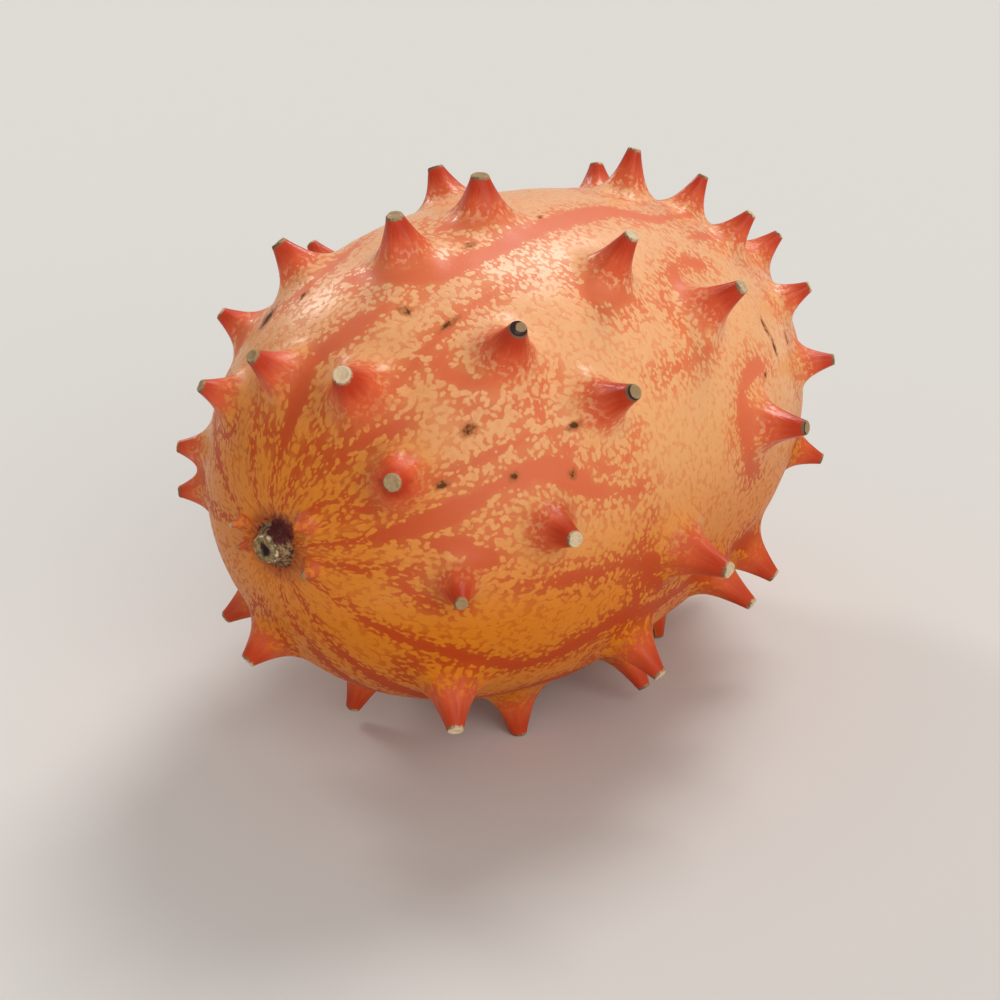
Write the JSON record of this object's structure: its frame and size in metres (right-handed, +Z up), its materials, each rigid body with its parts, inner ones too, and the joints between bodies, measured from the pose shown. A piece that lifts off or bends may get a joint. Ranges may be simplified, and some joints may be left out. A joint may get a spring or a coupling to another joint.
{
  "type": "horned melon",
  "caption": "Whole horned melon fruit lying on its side: a barrel-shaped mottled orange body with blunt horns, resting on three worn horn tips.",
  "frame": {"origin": "on the resting surface, under the middle of the fruit's box", "axes": "+X along the fruit from its stem end to its blossom end, +Z up, +Y to the fruit's left when looking along +X"},
  "size_m": [0.1202, 0.0884, 0.0833],
  "materials": {
    "peel": "waxy mottled orange fruit peel with red-orange horns and corky tips"
  },
  "bodies": {
    "root": {"horned_melon": "peel"}
  },
  "joints": []
}
